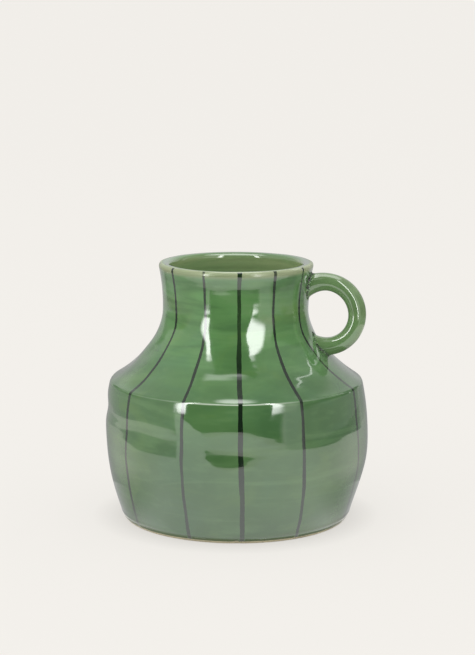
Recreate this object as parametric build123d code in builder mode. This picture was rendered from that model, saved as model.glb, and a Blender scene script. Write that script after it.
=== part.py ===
from build123d import *
from math import copysign, cos, hypot, radians, sin, sqrt, tan
import os

# Wheel-thrown stoneware jar with one ring handle. It stands on the XY plane with its axis along Z,
# and the handle points along +X. Lengths are in millimetres, angles in degrees.

# Heights, stacked from the table upwards
FOOT_RISE = 4.0  # foot ring, up to the underside of the wall and the floor
BELLY_RISE = 104.5  # foot ring to the shoulder ridge
SHOULDER_RISE = 57.5  # ridge to the waist of the neck
COLLAR_RISE = 34.0  # waist of the neck to the crest of the lip

# Outline of the wall
BELLY_RADIUS = 101.4  # widest part of the belly
BELLY_MIDDLE = 68.0  # widest part, above the foot ring
BELLY_DRAW_IN = 12.8  # how far the wall draws in from there to the foot ring
RIDGE_ROUND = 3.5  # round on the edge of the ridge
WAIST_RADIUS = 56.2  # narrowest part of the neck
COVE_RADIUS = 47.5  # hollow curve under the waist
COVE_ANGLE = 35.5  # how far that curve turns before the shoulder takes over
MOUTH_FLARE = 3.0  # how far the lip stands out beyond the waist

# Clay
WALL = 6.0
FLOOR = 7.0
LIP_THICKNESS = 8.0
FOOT_TUCK = 3.8  # how far the round edge under the wall tucks in to the table
FOOT_WIDTH = 14.0  # flat face of the foot ring

# Seams between the sections, bevelled so that the upper one plugs into the lower one
SEAM_BEVEL = 30.0
BELLY_SEAM_DROP = 6.0  # below the ridge
NECK_SEAM_DROP = 19.0  # below the waist
LIP_SEAM_DROP = 7.5  # below the crest of the lip, cut level

# Ring handle and the pads of slip round its roots
HANDLE_THICKNESS = 13.4
HANDLE_RING = 25.0  # radius of the ring's centreline
HANDLE_STANDOFF = 13.4  # centre of the ring, out from the waist
HANDLE_DROP = 4.6  # centre of the ring, below the waist
LUTE_SPREAD = 4.5  # pad beyond the handle's own radius
LUTE_RISE = 3.0  # pad above the wall
LUTE_SLOPE = 26.0  # how far the pad's edge leans in

# Painted strokes, lip to foot
STROKE_WIDTH = 3.0
STROKE_DEPTH = 0.3  # thickness of the paint
STROKE_CLEARANCE = 0.1  # hairline between the wall and the paint
STROKE_LIFT = 1.5  # lower end, above the foot ring
STROKE_STOP = 1.0  # upper end, below the crest of the lip
# Places round the jar, counted from the handle: angle at the lip, then at the foot
STROKES = (
    (18.0, 16.0),
    (46.0, 45.0),
    (75.0, 73.0),
    (105.0, 106.0),
    (134.0, 135.0),
    (165.0, 164.0),
    (196.0, 194.0),
    (228.0, 225.0),
    (258.0, 259.0),
    (284.5, 285.0),
    (312.0, 312.5),
    (340.5, 350.0),
)

# Places that follow from the sizes
ridge_height = FOOT_RISE + BELLY_RISE
waist_height = ridge_height + SHOULDER_RISE
jar_height = waist_height + COLLAR_RISE
floor_height = FOOT_RISE + FLOOR
belly_height = FOOT_RISE + BELLY_MIDDLE
lip_roll = LIP_THICKNESS / 2
mouth_height = jar_height - lip_roll
mouth_radius = WAIST_RADIUS + MOUTH_FLARE
wall_foot_radius = BELLY_RADIUS - BELLY_DRAW_IN
foot_radius = wall_foot_radius - FOOT_TUCK
ring_centre = WAIST_RADIUS + HANDLE_STANDOFF
ring_height = waist_height - HANDLE_DROP
clear_radius = BELLY_RADIUS + 2 * WALL


# Outline arcs. Each is its centre (radius, height) and its bend: the arc's radius, positive where
# the wall bulges outwards and negative where it is hollow. Growing the outline adds to the bend.
def bend_over(rise, set_in):
    """Radius of an arc that leaves its widest or narrowest point upright and turns in over a rise."""
    return (rise**2 + set_in**2) / (2 * set_in)


belly_bend = bend_over(BELLY_MIDDLE, BELLY_DRAW_IN)
flare_bend = bend_over(mouth_height - waist_height, MOUTH_FLARE)
belly_arc = ((BELLY_RADIUS - belly_bend, belly_height), belly_bend)
flare_arc = ((WAIST_RADIUS + flare_bend, waist_height), -flare_bend)
cove_arc = ((WAIST_RADIUS + COVE_RADIUS, waist_height), -COVE_RADIUS)
ring_arc = ((ring_centre, ring_height), HANDLE_RING)


def arc_point(arc, height, growth=0.0):
    """Point of an outline arc at a height."""
    (middle, level), bend = arc
    bend += growth
    return (middle + copysign(sqrt(bend**2 - (height - level) ** 2), bend), height)


def cove_end(growth=0.0):
    """Point where the hollow curve under the waist passes into the shoulder."""
    (middle, level), bend = cove_arc
    turn = radians(COVE_ANGLE)
    return (middle + (bend + growth) * cos(turn), level + (bend + growth) * sin(turn))


def shoulder_curve():
    """Arc that leaves the hollow curve without a kink and ends at the ridge, on the belly's arc."""
    start, ridge = cove_end(), arc_point(belly_arc, ridge_height)
    facing = (cos(radians(COVE_ANGLE)), sin(radians(COVE_ANGLE)))
    across, down = ridge[0] - start[0], ridge[1] - start[1]
    bend = (across**2 + down**2) / (2 * (across * facing[0] + down * facing[1]))
    return ((start[0] + bend * facing[0], start[1] + bend * facing[1]), -bend)


shoulder_arc = shoulder_curve()


def crossing(first, second, growth=0.0):
    """Point where two arcs cross, to the right of the way from the first centre to the second."""
    (ax, az), a_bend = first
    (bx, bz), b_bend = second
    apart = hypot(bx - ax, bz - az)
    way_x, way_z = (bx - ax) / apart, (bz - az) / apart
    along = (apart**2 + (a_bend + growth) ** 2 - (b_bend + growth) ** 2) / (2 * apart)
    aside = sqrt((a_bend + growth) ** 2 - along**2)
    return (ax + along * way_x + aside * way_z, az + along * way_z - aside * way_x)


def draw_arc(arc, low, high, growth):
    """Stretch of an outline arc between two heights."""
    heights = (low, (low + high) / 2, high)
    return ThreePointArc(*(arc_point(arc, height, growth) for height in heights))


def half_outline(growth):
    """Half section of the jar's outside, filled to the axis and grown by a thickness.

    Grown inwards it is the hollow, which runs straight out at the mouth and has a sharp inner ridge.
    """
    ridge = crossing(belly_arc, shoulder_arc, growth)
    mouth = arc_point(flare_arc, mouth_height, growth)
    with BuildSketch(Plane.XZ) as half:
        with BuildLine():
            Line((0, FOOT_RISE), arc_point(belly_arc, FOOT_RISE, growth))
            draw_arc(belly_arc, FOOT_RISE, ridge[1], growth)
            draw_arc(shoulder_arc, ridge[1], cove_end(growth)[1], growth)
            draw_arc(cove_arc, cove_end(growth)[1], waist_height, growth)
            draw_arc(flare_arc, waist_height, mouth_height, growth)
            if growth < 0:
                Polyline(mouth, (0, mouth_height), (0, FOOT_RISE))
            else:
                crest = (mouth_radius - lip_roll, jar_height + growth)
                swing = (lip_roll + growth) * sin(radians(45))
                ThreePointArc(mouth, (crest[0] + swing, mouth_height + swing), crest)
                Polyline(crest, (0, crest[1]), (0, FOOT_RISE))
        make_face()
        if growth >= 0:
            fillet(half.vertices().sort_by_distance(ridge)[0], RIDGE_ROUND + growth)
    return half.sketch


def seam_band(lower, upper):
    """Half section of everything between two seams, each a (point on the wall, bevel)."""
    edges = []
    for (radius, height), bevel in (lower, upper):
        edges.append([(r, height + (r - radius) * tan(radians(bevel))) for r in (0, clear_radius)])
    Polygon(*edges[0], *reversed(edges[1]), align=None)


foot_seam = ((wall_foot_radius, FOOT_RISE), 0.0)
belly_seam = (arc_point(belly_arc, ridge_height - BELLY_SEAM_DROP), SEAM_BEVEL)
neck_seam = (arc_point(cove_arc, waist_height - NECK_SEAM_DROP), SEAM_BEVEL)
lip_seam = (arc_point(flare_arc, jar_height - LIP_SEAM_DROP), 0.0)
floor_seam = ((wall_foot_radius, floor_height), 0.0)

# Forms that shape the pieces: the jar filled solid, and the space inside its wall
with BuildPart() as jar_filled:
    revolve(half_outline(0.0).faces(), axis=Axis.Z)

with BuildPart() as jar_hollow:
    revolve(half_outline(-WALL).faces(), axis=Axis.Z)

# Foot ring: flat on the table, with a round edge that runs on from the wall
with BuildPart() as foot_ring:
    with BuildSketch(Plane.XZ):
        with BuildLine():
            inner = foot_radius - FOOT_WIDTH
            wall_end = (wall_foot_radius, FOOT_RISE)
            wall_slope = (FOOT_RISE - belly_height, belly_arc[0][0] - wall_foot_radius)
            Polyline((foot_radius, 0), (inner, 0), (inner, FOOT_RISE), wall_end)
            TangentArc(wall_end, (foot_radius, 0), tangent=wall_slope)
        make_face()
    revolve(axis=Axis.Z)

# Floor: a disc on the foot ring, pressed out against the inside of the wall
with BuildPart() as floor_disc:
    with BuildSketch(Plane.XZ):
        seam_band(foot_seam, floor_seam)
    revolve(axis=Axis.Z)
    add(jar_hollow.part, mode=Mode.INTERSECT)

# Belly: the barrelled lower wall
with BuildPart() as belly_wall:
    with BuildSketch(Plane.XZ):
        seam_band(foot_seam, belly_seam)
    revolve(axis=Axis.Z)
    add(jar_filled.part, mode=Mode.INTERSECT)
    add(jar_hollow.part, mode=Mode.SUBTRACT)

# Shoulder: the ridge and the slope up to the root of the neck
with BuildPart() as shoulder_wall:
    with BuildSketch(Plane.XZ):
        seam_band(belly_seam, neck_seam)
    revolve(axis=Axis.Z)
    add(jar_filled.part, mode=Mode.INTERSECT)
    add(jar_hollow.part, mode=Mode.SUBTRACT)

# Neck: the waisted collar
with BuildPart() as neck_collar:
    with BuildSketch(Plane.XZ):
        seam_band(neck_seam, lip_seam)
    revolve(axis=Axis.Z)
    add(jar_filled.part, mode=Mode.INTERSECT)
    add(jar_hollow.part, mode=Mode.SUBTRACT)

# Lip: a thick rolled rim on the level top of the neck
with BuildPart() as rim_lip:
    with BuildSketch(Plane.XZ):
        with BuildLine():
            seat_height = jar_height - LIP_SEAM_DROP
            outer_mouth = arc_point(flare_arc, mouth_height)
            inner_mouth = (mouth_radius - LIP_THICKNESS, mouth_height)
            draw_arc(flare_arc, seat_height, mouth_height, 0.0)
            ThreePointArc(outer_mouth, (mouth_radius - lip_roll, jar_height), inner_mouth)
            inner_seat = arc_point(flare_arc, seat_height, -WALL)
            Polyline(inner_mouth, inner_seat, arc_point(flare_arc, seat_height))
        make_face()
    revolve(axis=Axis.Z)

# Handle: a round ring that the neck and the shoulder cut short
with BuildPart() as handle_loop:
    with BuildSketch(Plane.XY.offset(ring_height)):
        with Locations((ring_centre + HANDLE_RING, 0)):
            Circle(HANDLE_THICKNESS / 2)
    revolve(axis=Axis((ring_centre, 0, ring_height), (0, 1, 0)))
    add(jar_filled.part, mode=Mode.SUBTRACT)


def root_plane(root, wall_arc):
    """Plane on the wall at a root of the handle, facing straight out of the wall."""
    middle, level = wall_arc[0]
    return Plane((root[0], 0, root[1]), z_dir=(middle - root[0], 0, level - root[1]))


pieces = {
    "foot_ring": foot_ring,
    "floor_disc": floor_disc,
    "belly_wall": belly_wall,
    "shoulder_wall": shoulder_wall,
    "neck_collar": neck_collar,
    "rim_lip": rim_lip,
    "handle_loop": handle_loop,
}

# Pads of slip round the two roots of the handle, tapered, and cut to collars by wall and handle
pad_radius = HANDLE_THICKNESS / 2 + LUTE_SPREAD
lutes = {
    "handle_upper_lute": root_plane(crossing(flare_arc, ring_arc), flare_arc),
    "handle_lower_lute": root_plane(crossing(ring_arc, shoulder_arc), shoulder_arc),
}
for name, plane in lutes.items():
    with BuildPart() as lute:
        with BuildSketch(plane) as pad:
            Circle(pad_radius)
        extrude(amount=-WALL)
        extrude(pad.sketch, amount=LUTE_RISE, taper=LUTE_SLOPE)
        add(jar_filled.part, mode=Mode.SUBTRACT)
        add(handle_loop.part, mode=Mode.SUBTRACT)
    pieces[name] = lute

# Skin of paint over the outside, from above the foot ring to just below the crest of the lip
with BuildPart() as paint_skin:
    revolve(half_outline(STROKE_CLEARANCE + STROKE_DEPTH).faces(), axis=Axis.Z)
    revolve(half_outline(STROKE_CLEARANCE).faces(), axis=Axis.Z, mode=Mode.SUBTRACT)
    with BuildSketch(Plane.XZ):
        skin_bottom = ((0, FOOT_RISE + STROKE_LIFT), 0.0)
        skin_top = ((0, jar_height - STROKE_STOP), 0.0)
        seam_band(skin_bottom, skin_top)
    revolve(axis=Axis.Z, mode=Mode.INTERSECT)


def ring_point(radius, height, angle):
    """Point at a radius, a height and an angle round from the handle."""
    return Vector(radius * cos(radians(angle)), radius * sin(radians(angle)), height)


# Strokes: strips of that skin, each as wide as the brush, lying in a plane through its two ends,
# which reaches from near the axis to beyond the belly
for number, (lip_angle, foot_angle) in enumerate(STROKES, 1):
    upper_end = ring_point(mouth_radius, jar_height, lip_angle)
    lower_end = ring_point(wall_foot_radius, FOOT_RISE, foot_angle)
    outward = ring_point(1, 0, (lip_angle + foot_angle) / 2)
    sideways = outward.cross(upper_end - lower_end)
    stroke_plane = Plane((upper_end + lower_end) / 2, x_dir=outward, z_dir=sideways)
    with BuildPart() as stroke:
        with BuildSketch(stroke_plane):
            Rectangle(2 * WAIST_RADIUS, 2 * jar_height)
        extrude(amount=STROKE_WIDTH / 2, both=True)
        add(paint_skin.part, mode=Mode.INTERSECT)
    pieces[f"stripe_{number:02d}"] = stroke

os.makedirs("parts", exist_ok=True)
for name, piece in pieces.items():
    piece.part.label = name
    export_step(piece.part, f"parts/{name}.step")
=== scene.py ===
"""Looks of a wheel-thrown stoneware jar with one ring handle, in green glaze over dark brush strokes.

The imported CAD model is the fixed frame: metres, the jar standing on the XY plane with its axis along Z and
its handle towards +X. Every piece here is a surface worked out with numpy. It stands in for the CAD node that
it is named after, keeps to that node's place, and rides on the jar's one body.
"""

from collections import namedtuple

import bpy
import numpy as np
from bpy.props import FloatProperty, FloatVectorProperty, PointerProperty
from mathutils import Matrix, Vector


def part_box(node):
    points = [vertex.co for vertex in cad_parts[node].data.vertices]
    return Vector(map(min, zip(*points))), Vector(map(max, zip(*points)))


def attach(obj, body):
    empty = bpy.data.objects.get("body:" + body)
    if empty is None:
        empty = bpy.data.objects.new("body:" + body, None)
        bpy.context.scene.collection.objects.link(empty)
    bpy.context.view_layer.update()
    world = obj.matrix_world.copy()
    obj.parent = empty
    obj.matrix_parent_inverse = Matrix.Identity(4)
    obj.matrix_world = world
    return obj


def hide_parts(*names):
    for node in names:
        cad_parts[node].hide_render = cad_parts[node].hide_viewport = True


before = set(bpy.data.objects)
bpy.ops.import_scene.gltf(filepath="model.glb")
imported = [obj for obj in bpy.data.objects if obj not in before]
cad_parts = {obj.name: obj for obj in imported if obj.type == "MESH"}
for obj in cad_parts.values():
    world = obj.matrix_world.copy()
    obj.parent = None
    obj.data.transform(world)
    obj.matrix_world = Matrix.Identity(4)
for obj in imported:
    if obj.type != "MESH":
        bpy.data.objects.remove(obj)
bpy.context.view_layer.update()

bl_info = {
    "name": "Stoneware Jar",
    "version": (1, 0, 0),
    "blender": (4, 5, 0),
    "location": "3D View > Sidebar > Jar",
    "description": "Dresses the solids of a one-handled jar in thrown clay, brush strokes and green glaze",
    "category": "Add Mesh",
}

MM = 0.001
FULL_TURN = 2 * np.pi

# The jar's one body, and what the name of a finish starts with, so that it isn't its slot's name
BODY = "root"
FIRED = "fired_"

# Highest corners of the clay nodes, which give the main sizes
FOOT_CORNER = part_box("foot_ring")[1]
FLOOR_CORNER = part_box("floor_disc")[1]
BELLY_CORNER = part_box("belly_wall")[1]
SHOULDER_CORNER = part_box("shoulder_wall")[1]
NECK_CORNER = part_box("neck_collar")[1]
LIP_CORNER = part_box("rim_lip")[1]
HANDLE_LOW, HANDLE_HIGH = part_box("handle_loop")
HANDLE_THICKNESS = HANDLE_HIGH.y - HANDLE_LOW.y
HANDLE_REACH = (HANDLE_HIGH.z - HANDLE_LOW.z) / 2
STROKE_NODES = sorted(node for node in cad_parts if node.startswith("stripe_"))

# How far the seam between belly and shoulder lies under the ridge
SEAM_DROP = 6.0 * MM

# Brush strokes: degrees from the handle, counter-clockwise, at the lip, waist, ridge, belly and foot, then
# the breadth as a share of the usual one, how far the brush skipped just under the lip, and how thin the
# paint is on the neck. The seven that face away from the front have the same spacing as the five in front.
USUAL_WASH = 0.08
Stroke = namedtuple("Stroke", "lip waist ridge belly foot breadth skip wash", defaults=(USUAL_WASH,))
STROKES = (
    Stroke(18.0, 18.6, 17.0, 16.6, 16.0, 0.95, 0.0),
    Stroke(46.0, 45.4, 45.8, 44.6, 45.0, 1.00, 0.4),
    Stroke(75.0, 75.8, 74.2, 74.0, 73.0, 0.90, 0.0),
    Stroke(105.0, 104.4, 105.6, 105.2, 106.0, 1.10, 0.0),
    Stroke(134.0, 134.6, 134.0, 135.4, 135.0, 0.90, 0.7),
    Stroke(165.0, 164.6, 165.4, 164.6, 164.0, 1.05, 0.0),
    Stroke(196.0, 195.4, 195.6, 194.2, 194.0, 0.95, 0.0),
    Stroke(227.8, 228.2, 227.9, 227.6, 225.0, 1.05, 0.0),
    Stroke(258.1, 257.8, 258.6, 258.5, 258.8, 0.95, 0.9, 0.15),
    Stroke(284.8, 284.3, 283.8, 283.8, 285.1, 1.40, 0.0, 0.55),
    Stroke(312.1, 311.5, 311.2, 311.5, 312.8, 1.00, 0.2),
    Stroke(341.2, 339.5, 346.4, 346.2, 350.6, 1.05, 0.0),
)

# Hollows pressed into the soft wall: angle and half width in degrees, height, half height and depth in mm,
# and how far the hollow climbs in mm per degree. A negative depth is a swelling.
Hollow = namedtuple("Hollow", "angle spread height rise depth climb")
HOLLOWS = (
    Hollow(281.0, 15.0, 74.0, 12.5, 1.6, -0.1),
    Hollow(238.0, 22.0, 80.0, 12.0, 1.2, -0.1),
    Hollow(214.0, 22.0, 92.0, 13.0, -0.6, 0.0),
    Hollow(192.0, 20.0, 88.0, 8.0, 1.8, 0.0),
    Hollow(165.0, 18.0, 84.0, 10.0, -0.7, 0.0),
    Hollow(120.0, 26.0, 60.0, 12.0, 0.8, -0.2),
    Hollow(60.0, 20.0, 80.0, 11.0, 0.9, 0.2),
    Hollow(5.0, 38.0, 52.0, 20.0, -1.8, 0.0),
    Hollow(335.0, 25.0, 90.0, 14.0, 0.5, 0.0),
)

# A wave on a surface: turns round it, radians for each unit along it, phase and height
Wave = namedtuple("Wave", "turns rate phase height")

# Seeds of the wall's waves, of the strokes and of the slip round the handle
LUMP_SEED = 41
STROKE_SEED = 42
LUTE_SEED = 17

# Seeded waves on the wall: how many, the whole turns that they make round it, and the most turns per metre
# along it
LUMP_COUNT = 44
LUMP_TURNS = (1, 13)
LUMP_RATE = 24.0
RIPPLE_COUNT = 40
RIPPLE_TURNS = (7, 17)
RIPPLE_RATE = 55.0

# Share of the ripples that the belly has, and the heights over which the neck gets the rest
BELLY_RIPPLES = 0.1
RIPPLES_START = (112 * MM, 128 * MM)

# Share of all those waves that is smoothed away at the lip, and the heights over which that happens
LIP_CALM = 0.85
CALM_START = (158 * MM, 174 * MM)

# How the wall sways out of round, along shares of the jar's height and in units of the setting, and how far
# the throwing rings wander, in radians
SWAYS = (Wave(2, 0.0, 0.6, 1.0), Wave(3, 9.0, 2.1, 0.6))
RING_WANDER = 1.3

# Shares that shape the section: of the foot's height, down to the corner of its round edge, of half the lip,
# in to the crest, and of the neck's rise, up to the throat
FOOT_EDGE_SHARE = 0.9
CREST_SHARE = 0.8
THROAT_SHARE = 0.55

# Counted in heights of the foot: where the marks of throwing start and are full, and the middle and half
# height of the glaze that rolls and pools above the foot
MARKS_START = (1.0, 5.0)
GLAZE_ROLL = (1.5, 0.35)
GLAZE_POOL = (1.55, 0.45)

# Where the glaze breaks thin along the ridge under a painted highlight, how far round, and how far the
# ridge's field reaches
BREAK_HIGHLIGHT_ANGLE = np.radians(282)
BREAK_HIGHLIGHT_SPREAD = np.radians(20)
RIDGE_FIELD = 3.0 * MM

# Side on which the glaze is freshest and lightest, partly painted light from that side, and the share of that
# lost on the far side, partly painted shade
POUR_AND_LIGHT_ANGLE = np.radians(245)
POUR_AND_SHADE_SHARE = 0.90

# Heights over which the glaze grows fresh on the belly and on the neck and fades again towards the lip, the
# belly's share of that, and the share lost at the lip
FRESH_BELLY = (60 * MM, 105 * MM)
FRESH_NECK = (116 * MM, 155 * MM)
FRESH_FADE = (180 * MM, 192 * MM)
FRESH_BELLY_SHARE = 0.2
FRESH_LOST = 0.4

# Lengths below the crest of the lip, negative on the inside, over which each glaze goes from none to all
OUTSIDE_START = (-3 * MM, 0.0)
FRESH_START = (-12 * MM, -5 * MM)
DRY_START = (-0.5 * MM, 1.5 * MM)
DRY_END = (8 * MM, 4 * MM)
LIP_START = (-0.5 * MM, 2 * MM)
LIP_END = (9 * MM, 5 * MM)
OLIVE_START = (-2 * MM, -8 * MM)
OLIVE_SHADE_FADE = (-7 * MM, -16 * MM)

# How olive, and so how light, the inside is under the lip and deeper down, where the darker green is painted
# shade
OLIVE_HIGH = 0.70
OLIVE_DEEP_SHADED = 0.45


def length(name, description, default):
    """Property for a length in metres."""
    return FloatProperty(
        name=name, description=description, default=default, min=0.0, unit="LENGTH", precision=5
    )


def angle(name, description, degrees):
    """Property for an angle, written in degrees."""
    return FloatProperty(name=name, description=description, default=np.radians(degrees), subtype="ANGLE")


def share(name, description, default):
    """Property for a share between nothing and all."""
    return FloatProperty(
        name=name, description=description, default=default, min=0.0, max=1.0, subtype="FACTOR"
    )


def colour(name, description, default):
    """Property for a colour in linear light."""
    return FloatVectorProperty(
        name=name, description=description, default=default, size=3, min=0.0, max=1.0, subtype="COLOR"
    )


class JarShape(bpy.types.PropertyGroup):
    """Section of the wall, read off the frame where a node's box gives it."""

    foot_height: length("Foot height", "Top of the foot ring", FOOT_CORNER.z)
    foot_tuck: length("Foot tuck", "How far the round edge under the wall tucks in to the table", 3.8 * MM)
    foot_width: length("Foot width", "Flat face of the foot ring", 14.0 * MM)
    wall_foot_radius: length("Wall at the foot", "Outside radius of the wall on the foot ring", FOOT_CORNER.x)
    floor_height: length("Floor height", "Top of the floor", FLOOR_CORNER.z)
    belly_radius: length("Belly radius", "Widest part of the belly", BELLY_CORNER.x)
    belly_height: length("Belly height", "Height of the widest part", 72.0 * MM)
    ridge_height: length("Ridge height", "Height of the shoulder ridge", BELLY_CORNER.z + SEAM_DROP)
    ridge_round: length("Ridge round", "Round on the edge of the ridge", 3.5 * MM)
    waist_radius: length("Waist radius", "Narrowest part of the neck", 56.2 * MM)
    waist_height: length("Waist height", "Height of the narrowest part", 166.0 * MM)
    cove_radius: length("Cove radius", "Hollow curve under the waist", 47.5 * MM)
    cove_angle: angle("Cove angle", "How far that curve turns before the shoulder takes over", 35.5)
    mouth_radius: length("Mouth radius", "Outside radius of the lip", LIP_CORNER.x)
    jar_height: length("Jar height", "Crest of the lip", LIP_CORNER.z)
    lip_thickness: length("Lip thickness", "Rolled lip, across", 8.0 * MM)
    wall: length("Wall", "Thickness of the clay", 6.0 * MM)


class JarHandle(bpy.types.PropertyGroup):
    """Ring handle and the slip round its roots."""

    thickness: length("Handle thickness", "Clay of the ring, across", HANDLE_THICKNESS)
    ring: length("Handle ring", "Radius of the ring's centreline", HANDLE_REACH - HANDLE_THICKNESS / 2)
    out: length("Ring centre", "Centre of the ring, out from the axis", HANDLE_HIGH.x - HANDLE_REACH)
    height: length("Ring height", "Centre of the ring, above the table", (HANDLE_HIGH.z + HANDLE_LOW.z) / 2)
    lute_spread: length("Lute spread", "Slip spread over the wall round a root", 2.4 * MM)
    lute_climb: length("Lute climb", "Slip drawn up the handle from a root", 2.6 * MM)


class JarThrowing(bpy.types.PropertyGroup):
    """Marks that throwing by hand leaves on the clay."""

    out_of_round: length("Out of round", "How far the wall sways from a true circle", 0.45 * MM)
    lump_slope: angle("Lump slope", "Usual tilt of the wall over its broad lumps", 1.0)
    ripple_slope: angle("Ripple slope", "Usual tilt of the neck over its short ripples", 1.7)
    ring_pitch: length("Ring pitch", "From one throwing ring to the next", 5.6 * MM)
    ring_depth: length("Ring depth", "Depth of the rings outside", 0.006 * MM)
    ring_depth_inside: length("Ring depth inside", "Depth of the rings inside", 0.05 * MM)
    hollows: share("Hollows", "Strength of the hollows pressed into the wall", 1.0)
    glaze_roll: length("Glaze roll", "Bead of glaze that gathers above the foot ring", 0.25 * MM)


class JarStrokes(bpy.types.PropertyGroup):
    """Dark brush strokes."""

    width: length("Stroke width", "Brush width", 2.6 * MM)
    bleed: length("Stroke bleed", "Margin in which the paint runs out into the glaze", 0.6 * MM)
    skin: length("Stroke skin", "Height of the paint on the wall", 0.09 * MM)
    lift: length("Stroke lift", "Lower end, above the table", 2.4 * MM)
    stop: length("Stroke stop", "Upper end, below the crest of the lip", 0.35 * MM)


class JarGlaze(bpy.types.PropertyGroup):
    """Colours of the glaze, the paint and the bare clay."""

    green: colour("Green", "Glaze of ordinary thickness", (0.085, 0.190, 0.064))
    deep: colour("Deep green", "Thicker glaze", (0.064, 0.156, 0.051))
    fresh: colour("Fresh green", "Clearer glaze, mostly on the neck", (0.172, 0.402, 0.132))
    warm: colour("Warm green", "Yellower clouds in the glaze", (0.175, 0.310, 0.070))
    cool: colour("Cool green", "Bluer clouds in the glaze", (0.078, 0.205, 0.100))
    light: colour("Light green", "Thinner glaze in drawn streaks", (0.180, 0.340, 0.135))
    thin: colour("Thin glaze", "Glaze run thin over an edge", (0.42, 0.46, 0.27))
    # Painted highlight along the ridge, on glaze broken thin over the edge
    broken_glaze_and_highlight: colour("Broken glaze and highlight", "Glaze broken to white on the ridge, with a painted highlight", (0.80, 0.90, 0.75))
    pool: colour("Pooled glaze", "Glaze gathered above the foot ring", (0.100, 0.155, 0.055))
    olive: colour("Olive", "Glaze on the inside", (0.460, 0.530, 0.270))
    pigment: colour("Paint", "Brush strokes under the glaze", (0.009, 0.022, 0.010))
    clay: colour("Bare clay", "Foot ring and other bare clay", (0.86, 0.78, 0.54))
    crust: colour("Crust", "Burnt pits round the roots of the handle", (0.018, 0.026, 0.012))
    iron: colour("Iron", "Dark specks in the bare clay", (0.16, 0.12, 0.08))


class JarStage(bpy.types.PropertyGroup):
    """Floor, light and camera round the jar."""

    floor: colour("Floor", "Pale floor and backdrop", (0.888, 0.863, 0.823))
    ceiling: colour("Ceiling", "Dim ceiling", (0.25, 0.25, 0.245))
    ambient: share("Ambient", "Even light from all round", 0.95)
    bounce: share("Bounce", "Share of its light that the floor gives back to the jar", 0.6)
    contact: length("Contact", "Reach of the shadow close to the foot", 24.0 * MM)
    contact_left: share("Contact light", "Light left where that shadow is deepest", 0.78)
    azimuth: angle("Azimuth", "Turn of the camera round the jar, from the front", 12.0)
    pitch: angle("Pitch", "Tilt of the camera below level", 9.97)
    distance: length("Distance", "Camera, out from the axis", 1441.8 * MM)
    eye_height: length("Eye height", "Camera, above the floor", 401.8 * MM)
    sidestep: length("Sidestep", "Camera, to its right", 1.15 * MM)


class JarSettings(bpy.types.PropertyGroup):
    """Everything that a user of the jar would change."""

    shape: PointerProperty(type=JarShape)
    handle: PointerProperty(type=JarHandle)
    throwing: PointerProperty(type=JarThrowing)
    strokes: PointerProperty(type=JarStrokes)
    glaze: PointerProperty(type=JarGlaze)
    stage: PointerProperty(type=JarStage)


# Section of the wall. Each arc is its centre (radius, height) and its bend: the arc's radius, positive where
# the wall bulges outwards and negative where it is hollow. Growing the section adds to the bend.
Arc = namedtuple("Arc", "middle level bend")

# Points along each arc or curve of the section, and how close, in metres, two of them are one point
RUN_POINTS = 400
SAME_PLACE = 1e-9


def bend_over(rise, set_in):
    """Radius of an arc that starts upright and turns in over a rise: (rise^2 + set_in^2) / (2 set_in)."""
    return (rise**2 + set_in**2) / (2 * set_in)


def arc_at(arc, height, growth=0.0):
    """Point of an arc at a height: centre + sqrt(bend^2 - (height - level)^2), on the bend's side."""
    bend = arc.bend + growth
    return np.array((arc.middle + np.sign(bend) * np.sqrt(bend**2 - (height - arc.level) ** 2), height))


def arc_run(arc, start, end, growth=0.0):
    """Points along an arc: centre + bend (cos, sin) of an angle that runs evenly from start to end."""
    bend = arc.bend + growth
    across, up = ((np.array((start, end)) - (arc.middle, arc.level)) / bend).T
    turn = np.linspace(*np.arctan2(up, across), RUN_POINTS)
    return np.column_stack((arc.middle + bend * np.cos(turn), arc.level + bend * np.sin(turn)))


def parabola(start, corner, end, step):
    """Curve that leaves start towards the corner and comes to end from it, for steps from 0 to 1.

    (1 - step)^2 start + 2 step (1 - step) corner + step^2 end.
    """
    return (1 - step) ** 2 * start + 2 * step * (1 - step) * corner + step**2 * end


def curve_run(start, corner, end):
    """Points along a parabola."""
    step = np.linspace(0.0, 1.0, RUN_POINTS)[:, None]
    return parabola(np.array(start), np.array(corner), np.array(end), step)


def straight_run(start, end, count):
    """Points spaced evenly from start to end."""
    return np.column_stack((np.linspace(start[0], end[0], count), np.linspace(start[1], end[1], count)))


def crossing(first, second, growth):
    """Point where two grown arcs cross, to the right of the way from the first centre to the second."""
    way = np.array((second.middle - first.middle, second.level - first.level))
    apart = np.hypot(*way)
    way /= apart
    along = (apart**2 + (first.bend + growth) ** 2 - (second.bend + growth) ** 2) / (2 * apart)
    aside = np.sqrt((first.bend + growth) ** 2 - along**2)
    return np.array((first.middle, first.level)) + along * way + aside * np.array((way[1], -way[0]))


def rounding(belly, shoulder, growth, radius):
    """Small arc that rounds the ridge between belly and shoulder, with its two ends on their grown arcs."""
    eye = crossing(belly, shoulder, growth - radius)
    ends = []
    for arc in (belly, shoulder):
        way = np.sign(arc.bend) * (eye - np.array((arc.middle, arc.level)))
        ends.append(eye + radius * way / np.hypot(*way))
    return Arc(*eye, radius), ends[0], ends[1]


def smooth(low, high, value):
    """Smooth step from 0 at low to 1 at high: 3t^2 - 2t^3."""
    step = np.clip((value - low) / (high - low), 0.0, 1.0)
    return step * step * (3 - 2 * step)


def blend(none, full, mask):
    """Value between two, for numbers, arrays and sockets alike: none + (full - none) mask."""
    return none + (full - none) * mask


def bell(value, middle, width):
    """Bell curve, 1 in the middle: exp(-((value - middle) / width)^2)."""
    return np.exp(-(((value - middle) / width) ** 2))


def turned_from(turn, middle):
    """Signed angle from the middle, the short way round."""
    return np.angle(np.exp(1j * (turn - middle)))


def unit(vectors):
    """Vectors brought to length 1."""
    return vectors / np.linalg.norm(vectors, axis=-1, keepdims=True)


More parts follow.
